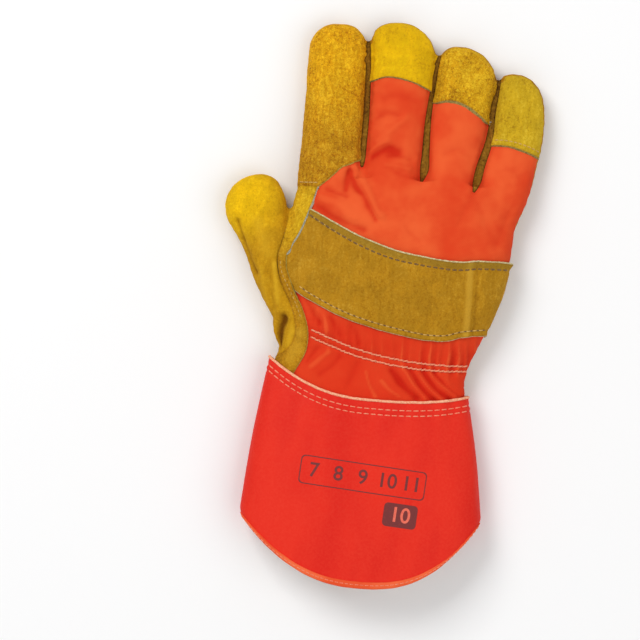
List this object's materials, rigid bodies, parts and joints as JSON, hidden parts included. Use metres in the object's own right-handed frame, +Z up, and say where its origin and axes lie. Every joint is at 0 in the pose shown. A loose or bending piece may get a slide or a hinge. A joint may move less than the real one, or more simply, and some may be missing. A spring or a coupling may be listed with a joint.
{
  "type": "fleece-lined leather work glove, right hand",
  "caption": "Right-hand lined work glove in yellow split leather and orange cotton, with a knuckle strap and a flared red cuff.",
  "frame": {"origin": "middle of the glove's footprint on the surface it lies on", "axes": "+Z up from the surface through the back of the hand, +Y towards the fingertips, thumb at -X"},
  "size_m": [0.1863, 0.3366, 0.0384],
  "materials": {
    "yellow_suede": "matt split leather with a short nap",
    "tan_suede": "matt split leather with a short nap",
    "orange_cotton": "matt cotton drill",
    "red_rubberised_cotton": "smooth satin rubberised cotton",
    "orange_binding": "satin woven tape",
    "pale_thread": "twisted sewing thread",
    "tan_thread": "twisted sewing thread"
  },
  "bodies": {
    "root": {"palm": "yellow_suede", "index_finger": "yellow_suede", "thumb": "yellow_suede", "fingertip_cap_middle": "yellow_suede", "fingertip_cap_ring": "yellow_suede", "fingertip_cap_little": "yellow_suede", "side_strip_index_middle": "tan_suede", "side_strip_middle_ring": "tan_suede", "side_strip_ring_little": "tan_suede", "knuckle_strap": "tan_suede", "hand_back": "orange_cotton", "cuff": "red_rubberised_cotton", "hem_binding": "orange_binding"}
  },
  "joints": []
}
